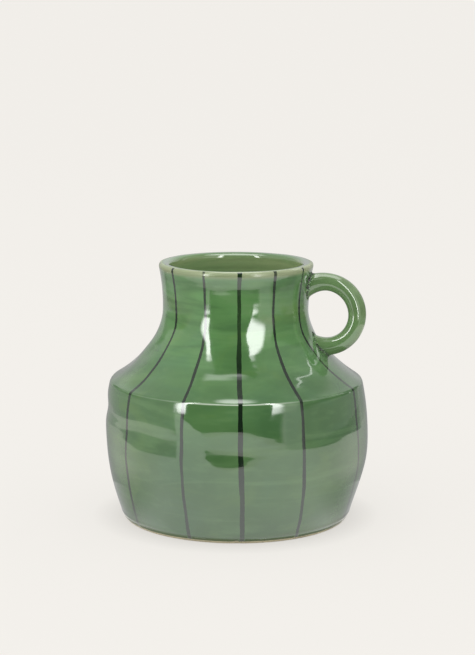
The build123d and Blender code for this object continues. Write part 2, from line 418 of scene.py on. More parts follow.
def revolve(section, turn):
    """Points of a section (radius, height) carried round the axis."""
    radius, height = section[:, :1], section[:, 1:]
    return np.stack(np.broadcast_arrays(radius * np.cos(turn), radius * np.sin(turn), height), axis=-1)


def drawn_waves(draw, count, turns, rate):
    """Waves drawn at random: their turns round a surface, radians along it, up to a rate, and phases."""
    return draw.integers(*turns, count), draw.uniform(-rate, rate, count), draw.uniform(0.0, FULL_TURN, count)


def wave_sum(waves, turn, along):
    """Sum of waves, each its height times cos(turns * angle + rate * length + phase)."""
    total = np.zeros(np.broadcast(turn, along).shape)
    for turns, rate, phase, height in waves:
        total += height * np.cos(turns * turn + rate * along + phase)
    return total


class ThrownWall:
    """The jar's wall as one surface: its section line, carried round the axis, with the marks of throwing.

    Length along the line runs from the table up the outside, over the lip and down the inside. The point at
    an angle and a length is the line's point there, swayed out of round, and moved along the line's normal by
    lumps, ripples, throwing rings and hollows.
    """

    def __init__(self, settings):
        self.shape = settings.shape
        self.throwing = settings.throwing
        self.set_line(self.section_runs())
        draw = np.random.default_rng(LUMP_SEED)
        self.lumps = self.seeded_waves(draw, LUMP_COUNT, LUMP_TURNS, LUMP_RATE, self.throwing.lump_slope)
        self.ripples = self.seeded_waves(
            draw, RIPPLE_COUNT, RIPPLE_TURNS, RIPPLE_RATE, self.throwing.ripple_slope
        )

    def section_runs(self):
        """The section as a chain of arcs, up the outside and down the inside."""
        shape = self.shape
        roll = shape.lip_thickness / 2
        mouth_height = shape.jar_height - roll
        neck_rise = mouth_height - shape.waist_height
        belly_rise = shape.belly_height - shape.foot_height
        belly_bend = bend_over(belly_rise, shape.belly_radius - shape.wall_foot_radius)
        flare_bend = bend_over(neck_rise, shape.mouth_radius - shape.waist_radius)
        belly = Arc(shape.belly_radius - belly_bend, shape.belly_height, belly_bend)
        flare = Arc(shape.waist_radius + flare_bend, shape.waist_height, -flare_bend)
        cove = Arc(shape.waist_radius + shape.cove_radius, shape.waist_height, -shape.cove_radius)
        facing = np.array((np.cos(shape.cove_angle), np.sin(shape.cove_angle)))
        cove_end = np.array((cove.middle, cove.level)) + cove.bend * facing
        fall = arc_at(belly, shape.ridge_height) - cove_end
        shoulder_bend = fall @ fall / (2 * fall @ facing)
        shoulder = Arc(*(cove_end + shoulder_bend * facing), -shoulder_bend)

        wall_foot = arc_at(belly, shape.foot_height)
        climb = unit(np.array((belly_rise, wall_foot[0] - belly.middle)))
        foot_corner = wall_foot - climb * shape.foot_height * FOOT_EDGE_SHARE
        foot_edge = curve_run((wall_foot[0] - shape.foot_tuck, 0.0), foot_corner, wall_foot)
        ridge, ridge_low, ridge_high = rounding(belly, shoulder, 0.0, shape.ridge_round)
        self.ridge_point = (ridge_low + ridge_high) / 2

        lean = neck_rise / np.sqrt(flare_bend**2 - neck_rise**2)
        lip_corner = (shape.mouth_radius + roll * lean, shape.jar_height)
        crest = (shape.mouth_radius - CREST_SHARE * roll, shape.jar_height)
        bore = shape.mouth_radius - shape.lip_thickness
        bore_top = (bore, mouth_height)

        inner = -shape.wall
        throat = arc_at(flare, shape.waist_height + THROAT_SHARE * neck_rise, inner)
        inner_cove_end = np.array((cove.middle, cove.level)) + (cove.bend + inner) * facing
        inner_ridge, inner_low, inner_high = rounding(belly, shoulder, inner, shape.ridge_round)
        return (
            foot_edge,
            arc_run(belly, wall_foot, ridge_low),
            arc_run(ridge, ridge_low, ridge_high),
            arc_run(shoulder, ridge_high, cove_end),
            arc_run(cove, cove_end, arc_at(cove, shape.waist_height)),
            arc_run(flare, arc_at(flare, shape.waist_height), arc_at(flare, mouth_height)),
            curve_run(arc_at(flare, mouth_height), lip_corner, crest),
            curve_run(crest, (bore, shape.jar_height), bore_top),
            curve_run(bore_top, (bore, (mouth_height + throat[1]) / 2), throat),
            arc_run(flare, throat, arc_at(flare, shape.waist_height, inner), inner),
            arc_run(cove, arc_at(cove, shape.waist_height, inner), inner_cove_end, inner),
            arc_run(shoulder, inner_cove_end, inner_high, inner),
            arc_run(inner_ridge, inner_high, inner_low),
            arc_run(belly, inner_low, arc_at(belly, shape.foot_height, inner), inner),
        )

    def set_line(self, runs):
        """Joins the runs into one line, measured by its length, with its normal at every point."""
        points = np.concatenate(runs)
        steps = np.hypot(*np.diff(points, axis=0).T)
        points = points[np.concatenate(([True], steps > SAME_PLACE))]
        steps = np.hypot(*np.diff(points, axis=0).T)
        self.length = np.concatenate(([0.0], np.cumsum(steps)))
        self.line = points
        tangent = unit(np.gradient(points, self.length, axis=0))
        self.normal = np.column_stack((tangent[:, 1], -tangent[:, 0]))
        self.top = int(points[:, 1].argmax())
        self.crest = self.length[self.top]
        self.ridge = self.outside(self.ridge_point[1])

    def seeded_waves(self, draw, count, turns, rate, slope):
        """Drawn waves that slant round the wall, with heights whose sum usually tilts it by the slope."""
        around, along, phase = drawn_waves(draw, count, turns, FULL_TURN * rate)
        steepness = np.hypot(around / self.shape.belly_radius, along)
        return np.column_stack((around, along, phase, slope * np.sqrt(2 / count) / steepness))

    def outside(self, height):
        """Length along the line at a height on the outside."""
        return np.interp(height, self.line[: self.top + 1, 1], self.length[: self.top + 1])

    def inside(self, height):
        """Length along the line at a height on the inside."""
        return np.interp(height, self.line[self.top :, 1][::-1], self.length[self.top :][::-1])

    def seam(self, height, bevel=0.0):
        """Lengths at the two ends of a seam that starts at a height outside and falls inwards by a bevel."""
        start = self.outside(height)
        radius = np.interp(start, self.length, self.line[:, 0])
        inside = self.line[self.top :]
        above = inside[:, 1] - height - (inside[:, 0] - radius) * np.tan(bevel)
        return start, np.interp(0.0, above[::-1], self.length[self.top :][::-1])

    def depth(self, turn, along, height):
        """How far the clay stands out: lumps + ripples + rings + swellings - hollows + glaze roll."""
        throwing = self.throwing
        outside = along <= self.crest
        foot_heights = height / self.shape.foot_height
        calm = 1 - LIP_CALM * smooth(*CALM_START, height)
        ripples = blend(BELLY_RIPPLES, 1.0, smooth(*RIPPLES_START, height))
        rise = calm * (wave_sum(self.lumps, turn, along) + ripples * wave_sum(self.ripples, turn, along))
        wander = turn + RING_WANDER * np.sin(2 * turn)
        ring = np.sin(FULL_TURN * along / throwing.ring_pitch + wander)
        rise += ring * np.where(outside, throwing.ring_depth, throwing.ring_depth_inside)
        for hollow in HOLLOWS:
            aside = np.degrees(turned_from(turn, np.radians(hollow.angle)))
            middle = hollow.height + hollow.climb * aside
            press = bell(aside, 0.0, hollow.spread) * bell(height / MM, middle, hollow.rise)
            rise -= throwing.hollows * hollow.depth * MM * press * outside
        rise *= smooth(*MARKS_START, foot_heights)
        return rise + throwing.glaze_roll * bell(foot_heights, *GLAZE_ROLL) * outside

    def point(self, turn, along, lift=0.0):
        """Point of the wall at an angle round the axis and a length along the line, lifted off the clay."""
        radius, height = (np.interp(along, self.length, column) for column in self.line.T)
        out, up = (np.interp(along, self.length, column) for column in self.normal.T)
        rise = self.depth(turn, along, height) + lift
        sway = self.throwing.out_of_round * wave_sum(SWAYS, turn, height / self.shape.jar_height)
        radius = radius + rise * out + sway * radius / self.shape.belly_radius
        return np.stack((radius * np.cos(turn), radius * np.sin(turn), height + rise * up), axis=-1)

    def facing(self, turn, along):
        """Normal of the wall: its slope round the axis crossed with its slope along the line."""
        small_turn = 2e-4
        small_step = 0.02 * MM
        after = np.minimum(along + small_step, self.length[-1])
        before = np.maximum(along - small_step, 0.0)
        round_axis = self.point(turn + small_turn, along) - self.point(turn - small_turn, along)
        along_line = self.point(turn, after) - self.point(turn, before)
        return unit(np.cross(round_axis, along_line))

    def radius_at(self, turn, height):
        """Outside radius of the wall at an angle and a height."""
        return np.hypot(*np.moveaxis(self.point(turn, self.outside(height))[..., :2], -1, 0))

    def fields(self, turn, along):
        """What the glaze does on the wall, each from 0 to 1, and 0 where nothing happens.

        The ridge's field falls evenly to both sides, so that a line as thin as a hair can be cut from it.
        """
        height = np.interp(along, self.length, self.line[:, 1])
        below_crest = self.crest - along
        outside = smooth(*OUTSIDE_START, below_crest)
        fresh = blend(smooth(*FRESH_NECK, height), smooth(*FRESH_BELLY, height), FRESH_BELLY_SHARE)
        fresh = fresh * (1 - FRESH_LOST * smooth(*FRESH_FADE, height))
        # Lighter towards one side and darker away from it: partly painted light and shade
        fresh = fresh * (1 - POUR_AND_SHADE_SHARE * (1 - np.cos(turn - POUR_AND_LIGHT_ANGLE)) / 2)
        # Olive gives way to darker green deeper inside: painted shade of the hollow
        olive = blend(OLIVE_HIGH, OLIVE_DEEP_SHADED, smooth(*OLIVE_SHADE_FADE, below_crest))
        return {
            "glaze_fresh_and_lit_side": fresh * smooth(*FRESH_START, below_crest),
            "glaze_dry": smooth(*DRY_START, below_crest) * smooth(*DRY_END, below_crest),
            "glaze_lip": smooth(*LIP_START, below_crest) * smooth(*LIP_END, below_crest),
            "glaze_ridge": np.clip(1 - np.abs(along - self.ridge) / RIDGE_FIELD, 0.0, 1.0),
            # Where round the ridge the painted highlight and the broken glaze are strongest
            "glaze_break_highlight": bell(turned_from(turn, BREAK_HIGHLIGHT_ANGLE), 0.0, BREAK_HIGHLIGHT_SPREAD),
            "glaze_pool": bell(height / self.shape.foot_height, *GLAZE_POOL) * outside,
            "glaze_inside": olive * smooth(*OLIVE_START, below_crest),
        }


# Uneven pull of the handle, as shares of its thickness: waves round the bar and along the ring, and how much
# it swells at each root, with the angles of the ring, in radians, over which it does
PULLS = (Wave(5, 0.0, 0.7, 0.012), Wave(2, 0.0, -0.5, 0.02), Wave(0, 3.0, -np.pi / 2, 0.012))
UPPER_SWELL = 0.09
UPPER_START = (1.35, 2.10)
LOWER_SWELL = 0.04
LOWER_START = (-1.25, -1.75)

# How far the ring sways to the side, as the sine of so many times its angle
RING_SWAY = 0.5 * MM
RING_SWAY_TURNS = 1.4

# Angles of the ring, in free air and in the clay, between which each root lies, and the halvings that find it
UPPER_ROOT = np.radians((90, 150))
LOWER_ROOT = np.radians((-60, -135))
HALVINGS = 40


class HandleRing:
    """The handle as one surface: a circle carried round a ring, with its two ends on the wall."""

    def __init__(self, settings, wall):
        self.handle = settings.handle
        self.wall = wall

    def point(self, swing, around):
        """Point of the ring: its centreline at an angle, plus its radius in a direction round that line."""
        handle = self.handle
        swell = UPPER_SWELL * smooth(*UPPER_START, swing) + LOWER_SWELL * smooth(*LOWER_START, swing)
        radius = handle.thickness / 2 * (1 + wave_sum(PULLS, around, swing) + swell)
        reach = handle.ring + radius * np.cos(around)
        side = radius * np.sin(around) + RING_SWAY * np.sin(RING_SWAY_TURNS * swing)
        out = handle.out + reach * np.cos(swing)
        return np.stack((out, side, handle.height + reach * np.sin(swing)), axis=-1)

    def crease(self, around, free, buried):
        """Angle at which each line of the ring enters the wall, by halving between free air and the clay."""
        outer = np.full_like(around, free)
        inner = np.full_like(around, buried)
        for _ in range(HALVINGS):
            middle = (outer + inner) / 2
            point = self.point(middle, around)
            turn = np.arctan2(point[..., 1], point[..., 0])
            clear = np.hypot(point[..., 0], point[..., 1]) > self.wall.radius_at(turn, point[..., 2])
            outer = np.where(clear, middle, outer)
            inner = np.where(clear, inner, middle)
        return (outer + inner) / 2

    def upper(self, around):
        """Crease on the neck."""
        return self.crease(around, *UPPER_ROOT)

    def lower(self, around):
        """Crease on the shoulder."""
        return self.crease(around, *LOWER_ROOT)


def grid_normals(points, ring_rows):
    """Normals of a grid closed round its columns: slope over the columns crossed with slope over the rows."""
    over_columns = np.roll(points, -1, axis=1) - np.roll(points, 1, axis=1)
    if ring_rows:
        over_rows = np.roll(points, -1, axis=0) - np.roll(points, 1, axis=0)
    else:
        over_rows = np.gradient(points, axis=0)
    return unit(np.cross(over_columns, over_rows))


def lay_piece(node, slot, points, fields, ring_rows, normals=None):
    """Mesh of a grid of points, rows by columns, that stands for a CAD node.

    Every cell is a quad between four neighbours. The columns close into a ring, and so do the rows, or else
    the first and the last row are each closed by a flat face. Where no normals are given, they are the grid's
    own. A field that a piece doesn't carry reads as 0.
    """
    if normals is None:
        normals = grid_normals(points, ring_rows)
    rows, columns = points.shape[:2]
    index = np.arange(rows * columns).reshape(rows, columns)
    above = np.roll(index, -1, axis=0)
    cells = np.stack((index, np.roll(index, -1, axis=1), np.roll(above, -1, axis=1), above), axis=-1)
    if ring_rows:
        faces = cells.reshape(-1, 4).tolist()
    else:
        faces = cells[:-1].reshape(-1, 4).tolist() + [index[0, ::-1].tolist(), index[-1].tolist()]
    name = node + "_clay"
    mesh = bpy.data.meshes.new(name)
    mesh.from_pydata(points.reshape(-1, 3).tolist(), [], faces)
    mesh.shade_smooth()
    mesh.normals_split_custom_set_from_vertices(normals.reshape(-1, 3).tolist())
    for key, values in fields.items():
        spread = np.broadcast_to(values, (rows, columns)).astype(np.float32)
        mesh.attributes.new(key, "FLOAT", "POINT").data.foreach_set("value", spread.ravel())
    mesh.materials.append(finish_for(slot))
    piece = bpy.data.objects.new(name, mesh)
    bpy.context.scene.collection.objects.link(piece)
    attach(piece, BODY)
    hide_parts(node)
    return piece


# Sockets of a Mix node for colours, whose names repeat
MIX_MASK = 0
MIX_FIRST = 6
MIX_SECOND = 7
MIX_RESULT = 2


class Value:
    """A socket of a node tree. Arithmetic with numbers or other sockets adds Math nodes."""

    def __init__(self, recipe, socket):
        self.recipe = recipe
        self.socket = socket

    def math(self, operation, first, second):
        """Math node of two values."""
        return self.recipe.node("ShaderNodeMath", {"operation": operation}, {0: first, 1: second})

    def __add__(self, other):
        return self.math("ADD", self, other)

    def __radd__(self, other):
        return self.math("ADD", other, self)

    def __sub__(self, other):
        return self.math("SUBTRACT", self, other)

    def __rsub__(self, other):
        return self.math("SUBTRACT", other, self)

    def __mul__(self, other):
        return self.math("MULTIPLY", self, other)

    def __rmul__(self, other):
        return self.math("MULTIPLY", other, self)


class Recipe:
    """Node tree of a finish."""

    def __init__(self, tree):
        self.tree = tree
        tree.nodes.clear()

    def node(self, kind, settings=None, sockets=None, output=0):
        """Adds a node: its type, its settings, set first, and the values or links of its sockets."""
        made = self.tree.nodes.new(kind)
        for key, value in (settings or {}).items():
            setattr(made, key, value)
        for key, value in (sockets or {}).items():
            if isinstance(value, Value):
                self.tree.links.new(value.socket, made.inputs[key])
            else:
                made.inputs[key].default_value = value
        return Value(self, made.outputs[output]) if len(made.outputs) else made

    def noise(self, scale=1.0, stretch=(1.0, 1.0, 1.0), detail=3.0, warp=0.0):
        """Cloudy pattern from 0 to 1, on object coordinates stretched along the axes."""
        seat = self.node("ShaderNodeTexCoord", output="Object")
        place = self.node("ShaderNodeMapping", None, {"Vector": seat, "Scale": stretch})
        sockets = {"Vector": place, "Scale": scale, "Detail": detail, "Distortion": warp}
        return self.node("ShaderNodeTexNoise", None, sockets)

    def between(self, value, none, full):
        """Smooth mask, 0 at the level none and 1 at the level full, whichever of them is higher."""
        sockets = {"Value": value, "From Min": none, "From Max": full}
        return self.node("ShaderNodeMapRange", {"interpolation_type": "SMOOTHSTEP"}, sockets)

    def mix(self, mask, first, second):
        """Colour between two colours."""
        pair = [tint if isinstance(tint, Value) else (*tint, 1.0) for tint in (first, second)]
        sockets = {MIX_MASK: mask, MIX_FIRST: pair[0], MIX_SECOND: pair[1]}
        return self.node("ShaderNodeMix", {"data_type": "RGBA"}, sockets, MIX_RESULT)

    def mix_shaders(self, mask, first, second):
        """Shader between two shaders."""
        return self.node("ShaderNodeMixShader", None, {0: mask, 1: first, 2: second})

    def field(self, name):
        """Value that the piece's own mesh carries."""
        return self.node("ShaderNodeAttribute", {"attribute_name": name}, output="Fac")

    def surface(self, shader):
        """Ends the recipe with its shader."""
        self.node("ShaderNodeOutputMaterial", None, {"Surface": shader})


def new_finish(name):
    """Empty material with its recipe."""
    finish = bpy.data.materials.new(name)
    finish.use_nodes = True
    return finish, Recipe(finish.node_tree)


def dimmed(tint, share_left):
    """Colour with a share of its light left."""
    return [share_left * part for part in tint]


# Tints laid over the body of the glaze, one after another: the pattern that each follows, the levels of it at
# which the tint is absent and full, its strength and its colour
Tint = namedtuple("Tint", "pattern none full strength colour")
TINTS = (
    Tint("hue", 0.52, 0.70, 0.55, "warm"),
    Tint("hue", 0.48, 0.30, 0.55, "cool"),
    Tint("drawn", 0.50, 0.68, 0.70, "light"),
    Tint("drawn", 0.52, 0.34, 0.55, "deep"),
    Tint("mottle", 0.50, 0.75, 0.40, "light"),
)

# Strength of the streaks inside, of the lighter glaze beside the ridge's line, a painted glow, and of the
# line's waver. That line is glaze broken thin over the edge with a painted highlight on it
INNER_STREAKS = 0.6
RIDGE_HIGHLIGHT_GLOW = 0.35
LINE_WAVER = 0.16

# What crust and dryness add to the glaze's roughness and take from its clear coat, and how deep burnt pits
# are against the dimples of the glaze
CRUST_ROUGHNESS = 0.30
CRUST_DULLING = 0.8
DRY_ROUGHNESS = 0.25
DRY_DULLING = 0.7
PIT_DEPTH = 1.5

# How ragged the edge of the paint is, how far the paint is worn, and the light left in green under worn paint
PAINT_RAGGED = 0.9
PAINT_WEAR = 0.25
PAINT_UNDER = 0.6

# Bare clay: the light left in its darker clouds, the strength of its specks, the waver of the glaze's edge,
# and the roughness above that edge
CLAY_DARKER = 0.82
SPECK_STRENGTH = 0.6
EDGE_WAVER = 0.5
GLAZED_ROUGHNESS = 0.1

# Refraction of glaze and clay, and the roughness of the glaze's clear coat
GLAZE_IOR = 1.65
CLAY_IOR = 1.6
COAT_ROUGHNESS = 0.04


def glaze_colour(recipe, glaze):
    """Colour of the glaze: cloudy greens whose hue wanders, and streaks drawn round the jar.

    It is livelier and fresher on the neck, lighter towards one side with painted light, thin on the lip,
    broken to white on the ridge under a painted highlight, gathered at the foot, and olive inside, darker
    deeper down with painted shade.
    """
    fresh = recipe.field("glaze_fresh_and_lit_side")
    lively = blend(0.34, 1.0, fresh)
    cloud = recipe.between(recipe.noise(scale=17.0, warp=0.4), none=0.34, full=0.66)
    hue = recipe.noise(stretch=(22.0, 22.0, 34.0), warp=0.8)
    drawn = recipe.noise(stretch=(10.0, 10.0, 70.0), warp=0.8)
    mottle = recipe.noise(stretch=(60.0, 60.0, 160.0))
    patterns = {"hue": hue, "drawn": drawn, "mottle": mottle}
    body = recipe.mix(cloud, glaze.deep, glaze.green)
    body = recipe.mix(fresh, body, recipe.mix(blend(0.4, 1.0, cloud), glaze.green, glaze.fresh))
    for tint in TINTS:
        mask = recipe.between(patterns[tint.pattern], tint.none, tint.full)
        body = recipe.mix(mask * lively * tint.strength, body, getattr(glaze, tint.colour))
    streaks = INNER_STREAKS * recipe.between(drawn, none=0.40, full=0.70)
    body = recipe.mix(recipe.field("glaze_inside"), body, recipe.mix(streaks, glaze.olive, glaze.light))
    body = recipe.mix(recipe.field("glaze_pool") * cloud, body, glaze.pool)
    body = recipe.mix(recipe.field("glaze_lip") * blend(0.55, 1.0, mottle), body, glaze.thin)
    # Painted glow and painted highlight on the ridge's line of glaze broken thin, strongest on its front
    # stretch
    ridge = recipe.field("glaze_ridge")
    break_highlight = recipe.field("glaze_break_highlight")
    body = recipe.mix(ridge * ridge * break_highlight * RIDGE_HIGHLIGHT_GLOW, body, glaze.light)
    line = recipe.between(ridge + LINE_WAVER * (mottle - 0.5), none=0.76, full=0.93)
    return recipe.mix(line * blend(0.07, 0.90, break_highlight), body, glaze.broken_glaze_and_highlight)


def glaze_roughness(recipe):
    """Roughness of a clean glaze: nearly smooth, a little uneven."""
    return blend(0.07, 0.12, recipe.noise(scale=130.0, detail=2.0))


def glassy_shader(recipe, tint, rough, coat=1.0, bump=None):
    """Glass-like glaze over the colour: a clear coat on a glossy body, both smooth."""
    sockets = {
        "Base Color": tint,
        "Roughness": rough,
        "IOR": GLAZE_IOR,
        "Coat Weight": coat,
        "Coat Roughness": COAT_ROUGHNESS,
        "Coat IOR": GLAZE_IOR,
    }
    if bump:
        sockets["Normal"] = bump
    recipe.surface(recipe.node("ShaderNodeBsdfPrincipled", None, sockets))


def glaze_finish(glaze):
    """Green glaze over the thrown clay, with a crust of burnt pits and pale specks where a field says so."""
    finish, recipe = new_finish(FIRED + "green_glaze")
    crust = recipe.field("glaze_crust")
    dry = recipe.field("glaze_dry")
    crusty = recipe.noise(scale=520.0, warp=0.5)
    burnt = crust * recipe.between(crusty, none=0.39, full=0.53)
    speck = crust * recipe.between(crusty, none=0.38, full=0.30)
    body = recipe.mix(burnt, glaze_colour(recipe, glaze), glaze.crust)
    body = recipe.mix(speck, body, glaze.thin)
    rough = glaze_roughness(recipe) + CRUST_ROUGHNESS * crust + DRY_ROUGHNESS * dry
    coat = 1 - CRUST_DULLING * crust - DRY_DULLING * dry
    peel = recipe.noise(scale=260.0, detail=2.0) - PIT_DEPTH * burnt
    bump = recipe.node("ShaderNodeBump", None, {"Strength": 0.12, "Distance": 0.1 * MM, "Height": peel})
    glassy_shader(recipe, body, rough, coat, bump)
    return finish


def stroke_finish(glaze):
    """Dark paint under the glaze, with a slightly ragged edge where it runs out into the green."""
    finish, recipe = new_finish(FIRED + "stripe_pigment")
    ragged = recipe.noise(scale=330.0, warp=0.3)
    wash = recipe.noise(scale=190.0, stretch=(1.0, 1.0, 0.25))
    edge = recipe.field("stroke_edge") + PAINT_RAGGED * (ragged - 0.5)
    skipped = recipe.field("stroke_skip") * recipe.between(wash, none=0.30, full=0.55)
    paint = recipe.between(edge, none=0.35, full=-0.25) * (1 - skipped)
    worn = PAINT_WEAR * recipe.between(wash, none=0.45, full=0.85) + recipe.field("stroke_wash")
    tint = recipe.mix(worn, glaze.pigment, dimmed(glaze.green, PAINT_UNDER))
    painted = recipe.mix(paint, glaze_colour(recipe, glaze), tint)
    glassy_shader(recipe, painted, glaze_roughness(recipe))
    return finish


def clay_finish(glaze):
    """Bare stoneware: pale, matt, grainy, with iron specks, and the lower edge of the glaze above it."""
    finish, recipe = new_finish(FIRED + "bare_stoneware")
    grain = recipe.noise(scale=700.0, detail=4.0)
    cloud = recipe.between(recipe.noise(scale=60.0), none=0.3, full=0.7)
    speck = recipe.between(recipe.noise(scale=520.0, detail=1.0), none=0.70, full=0.76)
    body = recipe.mix(cloud, glaze.clay, dimmed(glaze.clay, CLAY_DARKER))
    body = recipe.mix(speck * SPECK_STRENGTH, body, glaze.iron)
    edge = recipe.field("glaze_line") + EDGE_WAVER * (recipe.noise(scale=90.0) - 0.5)
    glazed = recipe.between(edge, none=0.35, full=0.65)
    body = recipe.mix(glazed, body, glaze.pool)
    rough = blend(0.62, 0.82, grain) * (1 - glazed) + GLAZED_ROUGHNESS * glazed
    relief = {"Strength": 0.4, "Distance": 0.15 * MM, "Height": grain * (1 - glazed)}
    bump = recipe.node("ShaderNodeBump", None, relief)
    sockets = {"Base Color": body, "Roughness": rough, "Normal": bump, "IOR": CLAY_IOR}
    recipe.surface(recipe.node("ShaderNodeBsdfPrincipled", None, sockets))
    return finish


FINISHES = {"green_glaze": glaze_finish, "stripe_pigment": stroke_finish, "bare_stoneware": clay_finish}


def finish_for(slot):
    """Finish of a material slot, made when it is first asked for."""
    return bpy.data.materials.get(FIRED + slot) or FINISHES[slot](bpy.context.scene.jar.glaze)


def rows_between(start, end, step):
    """Even rows along the line, about a step apart and at least three, with both ends."""
    return np.linspace(start, end, max(3, int(abs(end - start) / step)))


def even_turns(count):
    """Angles of a full turn, as one row."""
    return np.linspace(0.0, FULL_TURN, count, endpoint=False)[None, :]


# Grid of the wall: columns round it, and the step from row to row outside, on the lip and inside
COLUMNS = 384
ROW_STEP = 0.8 * MM
LIP_ROW_STEP = 0.4 * MM
INNER_ROW_STEP = 2.0 * MM

# Bevel of the seams at the top of the belly and of the shoulder
SEAM_BEVEL = np.radians(30)


class JAR_OT_throw_walls(bpy.types.Operator):
    """Throw the belly, the shoulder, the neck and the lip, each a closed ring of clay"""

    bl_idname = "jar.throw_walls"
    bl_label = "Throw the Walls"

    def execute(self, context):
        settings = context.scene.jar
        wall = ThrownWall(settings)
        foot = (wall.outside(settings.shape.foot_height), wall.inside(settings.shape.foot_height))
        belly = wall.seam(BELLY_CORNER.z, SEAM_BEVEL)
        neck = wall.seam(SHOULDER_CORNER.z, SEAM_BEVEL)
        lip = wall.seam(NECK_CORNER.z)
        below_ridge = rows_between(belly[0], wall.ridge, ROW_STEP)
        above_ridge = rows_between(wall.ridge, neck[0], ROW_STEP)[1:]
        turn = even_turns(COLUMNS)
        for node, rows in (
            ("belly_wall", (rows_between(foot[0], belly[0], ROW_STEP), self.inner_rows(belly, foot))),
            ("shoulder_wall", (below_ridge, above_ridge, self.inner_rows(neck, belly))),
            ("neck_collar", (rows_between(neck[0], lip[0], ROW_STEP), self.inner_rows(lip, neck))),
            ("rim_lip", (rows_between(*lip, LIP_ROW_STEP),)),
        ):
            along = np.concatenate(rows)[:, None]
            points = wall.point(turn, along)
            normals = wall.facing(turn, along)
            lay_piece(node, "green_glaze", points, wall.fields(turn, along), ring_rows=True, normals=normals)
        return {"FINISHED"}

    def inner_rows(self, high, low):
        """Rows down the inside from one seam to another."""
        return rows_between(high[1], low[1], INNER_ROW_STEP)


# Foot: the step from row to row up its edge, its soft inner corners, and the heights over which the glaze on
# its edge starts
FOOT_ROW_STEP = 0.3 * MM
FOOT_SOFT = 0.6 * MM
GLAZE_LINE = (1.7 * MM, 2.7 * MM)

# Chip in the foot: angle and half width, depth, and height with half height
CHIP_ANGLE = np.radians(282.2)
CHIP_SPREAD = np.radians(1.5)
CHIP_DEPTH = 1.6 * MM
CHIP_PLACE = (1.2 * MM, 1.5 * MM)


class JAR_OT_turn_foot(bpy.types.Operator):
    """Turn the foot ring: flat on the table, with a round outer edge that runs on from the wall"""

    bl_idname = "jar.turn_foot"
    bl_label = "Turn the Foot"

    def execute(self, context):
        settings = context.scene.jar
        shape = settings.shape
        wall = ThrownWall(settings)
        turn = even_turns(2 * COLUMNS)
        edge = wall.point(turn, rows_between(0.0, wall.outside(shape.foot_height), FOOT_ROW_STEP)[:, None])
        chip = bell(turned_from(turn, CHIP_ANGLE), 0.0, CHIP_SPREAD) * bell(edge[..., 2], *CHIP_PLACE)
        edge[..., :2] *= 1 - (CHIP_DEPTH * chip / shape.wall_foot_radius)[..., None]
        top = shape.foot_height
        outer = shape.wall_foot_radius - shape.foot_tuck
        inner = outer - shape.foot_width
        section = np.concatenate(
            (
                straight_run((outer, top), (inner + FOOT_SOFT, top), count=8),
                straight_run((inner, top - FOOT_SOFT), (inner, FOOT_SOFT), count=6),
                straight_run((inner + FOOT_SOFT, 0.0), (outer - FOOT_SOFT, 0.0), count=10),
            )
        )
        points = np.concatenate((edge, revolve(section, turn)))
        glazed = smooth(*GLAZE_LINE, edge[..., 2]) * (1 - chip)
        fields = {"glaze_line": np.concatenate((glazed, np.zeros((len(section), turn.size))))}
        lay_piece("foot_ring", "bare_stoneware", points, fields, ring_rows=True)
        return {"FINISHED"}


# Floor: the radius left at its middle, its cove, which of the cove's points are taken, and how olive it is
FLOOR_EYE = 0.3 * MM
FLOOR_COVE = 4.0 * MM
COVE_EVERY = 16
FLOOR_OLIVE = 0.8

# Throwing rings on the floor: depth, pitch, and how far in from its edge they are full
FLOOR_RING_DEPTH = 0.12 * MM
FLOOR_RING_PITCH = 9 * MM
FLOOR_RING_START = 30 * MM


class JAR_OT_close_floor(bpy.types.Operator):
    """Close the bottom with a thrown disc, coved up the wall, with rings round its middle"""

    bl_idname = "jar.close_floor"
    bl_label = "Close the Floor"

    def execute(self, context):
        settings = context.scene.jar
        shape = settings.shape
        wall = ThrownWall(settings)
        edge = FLOOR_CORNER.x
        cove_height = shape.floor_height + FLOOR_COVE
        cove_top = (np.interp(wall.inside(cove_height), wall.length, wall.line[:, 0]), cove_height)
        cove_foot = (edge - 2 * FLOOR_COVE, shape.floor_height)
        under_edge = (edge - FLOOR_COVE, shape.foot_height)
        upper = straight_run(cove_foot, (FLOOR_EYE, shape.floor_height), count=120)[1:]
        rings = np.sin(FULL_TURN * upper[:, 0] / FLOOR_RING_PITCH)
        upper[:, 1] += FLOOR_RING_DEPTH * rings * smooth(0.0, FLOOR_RING_START, edge - upper[:, 0])
        section = np.concatenate(
            (
                straight_run((FLOOR_EYE, shape.foot_height), under_edge, count=40),
                straight_run(under_edge, cove_top, count=6)[1:-1],
                curve_run(cove_top, (edge, shape.floor_height), cove_foot)[::COVE_EVERY],
                upper,
            )
        )
        points = revolve(section, even_turns(COLUMNS // 2))
        lay_piece("floor_disc", "green_glaze", points, {"glaze_inside": FLOOR_OLIVE}, ring_rows=False)
        return {"FINISHED"}


# Handle: rows and columns of its grid, and how deep its ends go into the wall
HANDLE_ROWS = 180
HANDLE_COLUMNS = 72
HANDLE_BURIED = 2.5 * MM

# Its glaze: how fresh it is, and how thin on the flanks and on the ring's outer and inner sides
HANDLE_FRESH = 0.55
FLANK_THIN = 0.22
RING_THIN = 0.38


